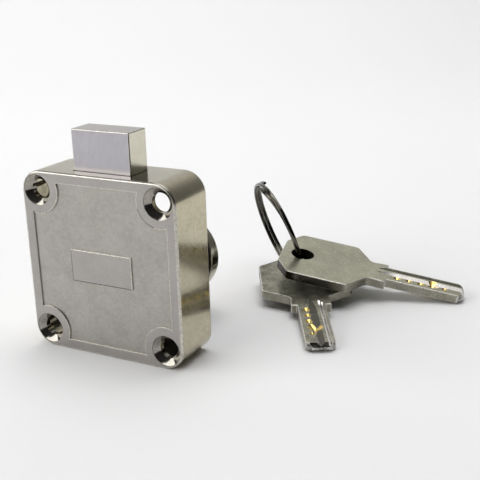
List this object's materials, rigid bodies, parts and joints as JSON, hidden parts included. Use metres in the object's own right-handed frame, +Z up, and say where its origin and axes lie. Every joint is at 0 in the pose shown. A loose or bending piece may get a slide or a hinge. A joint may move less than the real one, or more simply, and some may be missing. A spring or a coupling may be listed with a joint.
{
  "type": "drawer lock",
  "caption": "Square surface-mounted drawer lock with a sliding bolt, a round cylinder barrel behind it and dimple keys on a split ring beside it.",
  "frame": {"origin": "centre of the case's lower face, on which the lock stands", "axes": "+X to the right and +Z up along the bolt's throw, seen from inside the drawer; +Y towards the drawer front, along the cylinder"},
  "size_m": [0.0848, 0.0725, 0.0513],
  "materials": {
    "satin_nickel": "satin nickel plate on die-cast zinc",
    "bright_nickel": "bright nickel plate",
    "brass": "turned brass",
    "blackened_zinc": "blackened die-cast zinc",
    "hard_steel": "hard steel",
    "zinc_plate": "zinc plate"
  },
  "bodies": {
    "lock_case": {"case": "satin_nickel", "cylinder_housing": "blackened_zinc", "front_ring": "bright_nickel", "stop_pin": "hard_steel", "chamber_strip": "brass", "pin_spring_1": "hard_steel", "pin_spring_2": "hard_steel", "pin_spring_3": "hard_steel", "pin_spring_4": "hard_steel", "pin_spring_5": "hard_steel", "flange_screw_left_lower": "hard_steel", "flange_screw_left_upper": "hard_steel", "flange_screw_right_lower": "hard_steel", "flange_screw_right_upper": "hard_steel"},
    "plug_and_crank": {"plug": "brass", "crank_disc": "zinc_plate", "crank_pin": "hard_steel", "cam_screw": "hard_steel"},
    "bolt_body": {"bolt": "satin_nickel"},
    "key_pin_1_body": {"key_pin_1": "brass"},
    "key_pin_2_body": {"key_pin_2": "brass"},
    "key_pin_3_body": {"key_pin_3": "brass"},
    "key_pin_4_body": {"key_pin_4": "brass"},
    "key_pin_5_body": {"key_pin_5": "brass"},
    "driver_pin_1_body": {"driver_pin_1": "brass"},
    "driver_pin_2_body": {"driver_pin_2": "brass"},
    "driver_pin_3_body": {"driver_pin_3": "brass"},
    "driver_pin_4_body": {"driver_pin_4": "brass"},
    "driver_pin_5_body": {"driver_pin_5": "brass"},
    "ring_of_keys": {"key_ring": "bright_nickel"},
    "upper_key_body": {"upper_key": "satin_nickel"},
    "lower_key_body": {"lower_key": "satin_nickel"}
  },
  "joints": [
    {"name": "plug_turn", "type": "hinge", "parent": "lock_case", "child": "plug_and_crank", "pos_m": [0, 0, 0.0143], "axis": [0, 1, 0], "range_deg": [0, 180]},
    {"name": "bolt_slide", "type": "slide", "parent": "lock_case", "child": "bolt_body", "axis": [0, 0, 1], "range_m": [-0.0094, 0]},
    {"name": "key_pin_1_drop", "type": "slide", "parent": "plug_and_crank", "child": "key_pin_1_body", "axis": [0, 0, 1], "range_m": [-0.00056, 0]},
    {"name": "key_pin_2_drop", "type": "slide", "parent": "plug_and_crank", "child": "key_pin_2_body", "axis": [0, 0, 1], "range_m": [-0.00063, 0]},
    {"name": "key_pin_3_drop", "type": "slide", "parent": "plug_and_crank", "child": "key_pin_3_body", "axis": [0, 0, 1], "range_m": [-0.00042, 0]},
    {"name": "key_pin_4_drop", "type": "slide", "parent": "plug_and_crank", "child": "key_pin_4_body", "axis": [0, 0, 1], "range_m": [-0.00014, 0]},
    {"name": "key_pin_5_drop", "type": "slide", "parent": "plug_and_crank", "child": "key_pin_5_body", "axis": [0, 0, 1], "range_m": [-0.00049, 0]},
    {"name": "driver_pin_1_lift", "type": "slide", "parent": "lock_case", "child": "driver_pin_1_body", "axis": [0, 0, 1], "range_m": [0, 0.0006], "stiffness_N_per_m": 250, "springref_m": -0.0002, "deforming": ["pin_spring_1"]},
    {"name": "driver_pin_2_lift", "type": "slide", "parent": "lock_case", "child": "driver_pin_2_body", "axis": [0, 0, 1], "range_m": [0, 0.0006], "stiffness_N_per_m": 250, "springref_m": -0.0002, "deforming": ["pin_spring_2"]},
    {"name": "driver_pin_3_lift", "type": "slide", "parent": "lock_case", "child": "driver_pin_3_body", "axis": [0, 0, 1], "range_m": [0, 0.0006], "stiffness_N_per_m": 250, "springref_m": -0.0002, "deforming": ["pin_spring_3"]},
    {"name": "driver_pin_4_lift", "type": "slide", "parent": "lock_case", "child": "driver_pin_4_body", "axis": [0, 0, 1], "range_m": [0, 0.0006], "stiffness_N_per_m": 250, "springref_m": -0.0002, "deforming": ["pin_spring_4"]},
    {"name": "driver_pin_5_lift", "type": "slide", "parent": "lock_case", "child": "driver_pin_5_body", "axis": [0, 0, 1], "range_m": [0, 0.0006], "stiffness_N_per_m": 250, "springref_m": -0.0002, "deforming": ["pin_spring_5"]},
    {"name": "key_set_lift", "type": "slide", "parent": "lock_case", "child": "ring_of_keys", "axis": [0, 0, 1], "range_m": [0, 0.06]},
    {"name": "upper_key_swing", "type": "hinge", "parent": "ring_of_keys", "child": "upper_key_body", "pos_m": [0.02354, 0.04895, 0.00804], "axis": [0.2025, -0.0543, 0.9778], "range_deg": [0, 25]},
    {"name": "lower_key_swing", "type": "hinge", "parent": "ring_of_keys", "child": "lower_key_body", "pos_m": [0.02235, 0.05184, 0.00307], "axis": [0.0365, -0.0642, 0.9973], "range_deg": [-25, 10]}
  ],
  "couplings": [
    {"joint": "plug_turn", "follows": "bolt_slide", "rad_per_m": -334.2}
  ]
}
